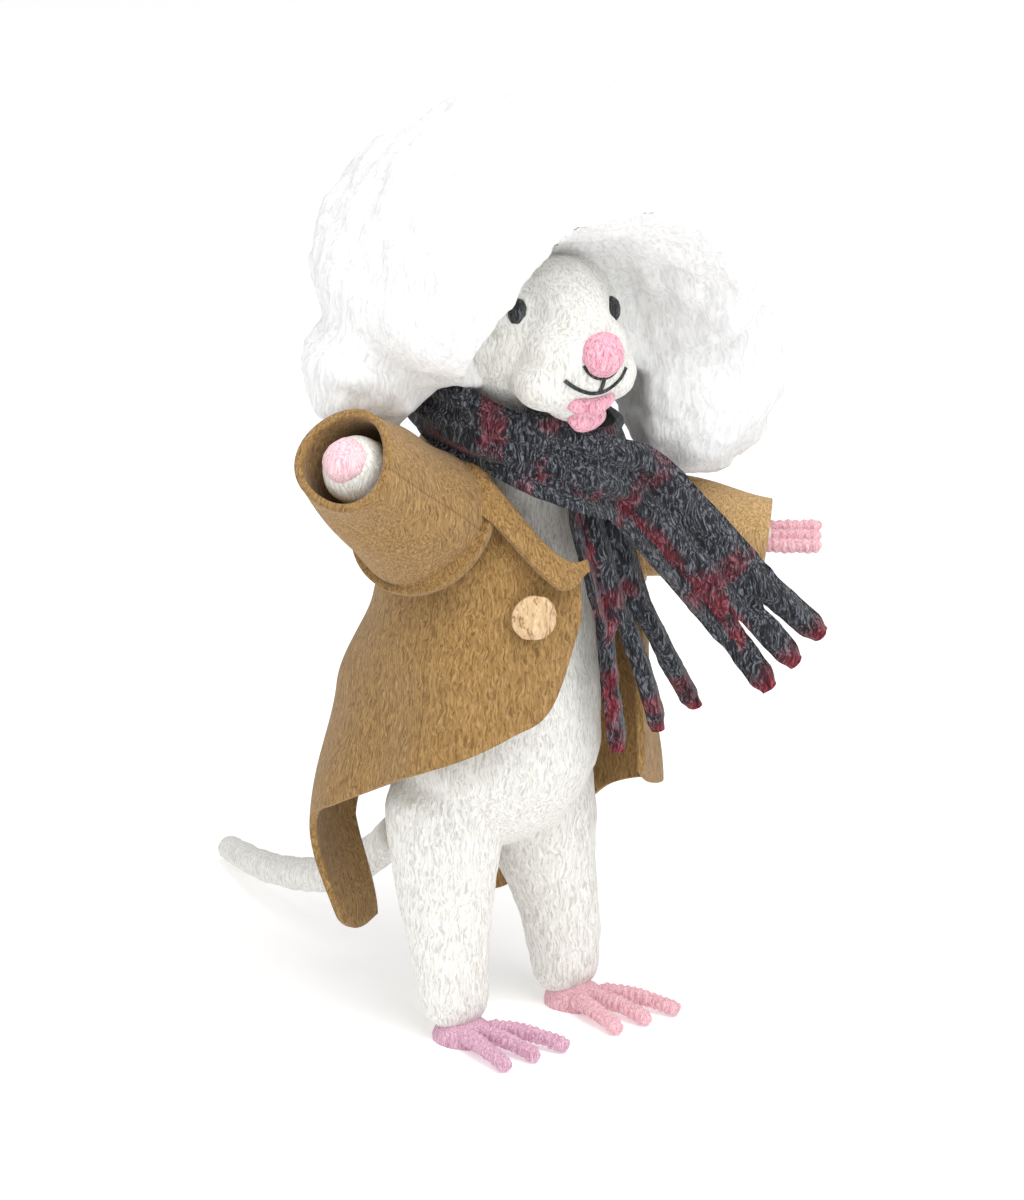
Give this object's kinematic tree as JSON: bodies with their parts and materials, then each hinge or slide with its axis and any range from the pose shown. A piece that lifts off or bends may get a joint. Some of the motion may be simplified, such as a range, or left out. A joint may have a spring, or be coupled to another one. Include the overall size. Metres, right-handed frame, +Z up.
{
  "type": "needle-felted mouse figure",
  "caption": "Needle-felted white wool mouse standing on two feet, with fluffy hair, a felt coat with a button and a fringed tartan scarf.",
  "frame": {"origin": "middle of the base of the whole figure's box, on the surface it stands on", "axes": "+Z up; the mouse faces -Y, its own left is +X, and its tail runs to +Y"},
  "size_m": [0.088, 0.1224, 0.15],
  "materials": {
    "white_wool": "matte",
    "hair_wool": "matte",
    "pink_wool": "matte",
    "mauve_wool": "matte",
    "black_wool": "matte",
    "coat_felt": "matte",
    "button_felt": "matte",
    "tartan": "matte",
    "wire": "satin"
  },
  "bodies": {
    "body": {"spine_wire": "wire", "shoulder_wire": "wire", "torso": "white_wool", "right_leg": "white_wool", "right_leg_wire": "wire", "right_foot": "mauve_wool", "right_toe_1": "mauve_wool", "right_toe_2": "mauve_wool", "right_toe_3": "mauve_wool", "left_leg": "white_wool", "left_leg_wire": "wire", "left_foot": "pink_wool", "left_toe_1": "pink_wool", "left_toe_2": "pink_wool", "left_toe_3": "pink_wool", "coat_back": "coat_felt", "coat_front_right": "coat_felt", "coat_front_left": "coat_felt", "button": "button_felt", "scarf_wrap": "tartan"},
    "tail": {"tail": "white_wool", "tail_wire": "wire"},
    "right_arm": {"right_arm": "white_wool", "right_arm_wire": "wire", "right_sleeve": "coat_felt", "right_finger_1": "pink_wool", "right_finger_2": "pink_wool", "right_finger_3": "pink_wool", "right_finger_4": "pink_wool"},
    "left_arm": {"left_arm": "white_wool", "left_arm_wire": "wire", "left_sleeve": "coat_felt", "left_finger_1": "pink_wool", "left_finger_2": "pink_wool", "left_finger_3": "pink_wool"},
    "head": {"head": "white_wool", "right_eye": "black_wool", "left_eye": "black_wool", "nose": "pink_wool", "tongue": "pink_wool", "mouth_thread": "black_wool", "right_ear": "pink_wool", "left_ear": "pink_wool", "hair": "hair_wool"},
    "scarf_flying_tail": {"scarf_flying_tail": "tartan"},
    "scarf_hanging_tail": {"scarf_hanging_tail": "tartan"}
  },
  "joints": [
    {"name": "neck_turn", "type": "hinge", "parent": "body", "child": "head", "pos_m": [-0.0001, -0.02649, 0.105], "axis": [0, 0, 1], "range_deg": [-20, 20]},
    {"name": "right_arm_lift", "type": "hinge", "parent": "body", "child": "right_arm", "pos_m": [-0.01709, -0.02349, 0.083], "axis": [-0.1843, 0.9829, 0], "range_deg": [-40, 5]},
    {"name": "left_arm_lift", "type": "hinge", "parent": "body", "child": "left_arm", "pos_m": [0.0169, -0.02449, 0.078], "axis": [-0.7071, -0.7071, 0], "range_deg": [-12, 30]},
    {"name": "tail_swing", "type": "hinge", "parent": "body", "child": "tail", "pos_m": [-0.0001, -0.00799, 0.031], "axis": [0, 0, 1], "range_deg": [-12, 12]},
    {"name": "scarf_flying_tail_swing", "type": "hinge", "parent": "body", "child": "scarf_flying_tail", "pos_m": [0.0053, -0.04429, 0.09], "axis": [-0.6521, 0.305, -0.6941], "range_deg": [-10, 20]},
    {"name": "scarf_hanging_tail_swing", "type": "hinge", "parent": "body", "child": "scarf_hanging_tail", "pos_m": [0.00151, -0.04029, 0.0875], "axis": [-1, 0, 0], "range_deg": [-2, 12]}
  ]
}
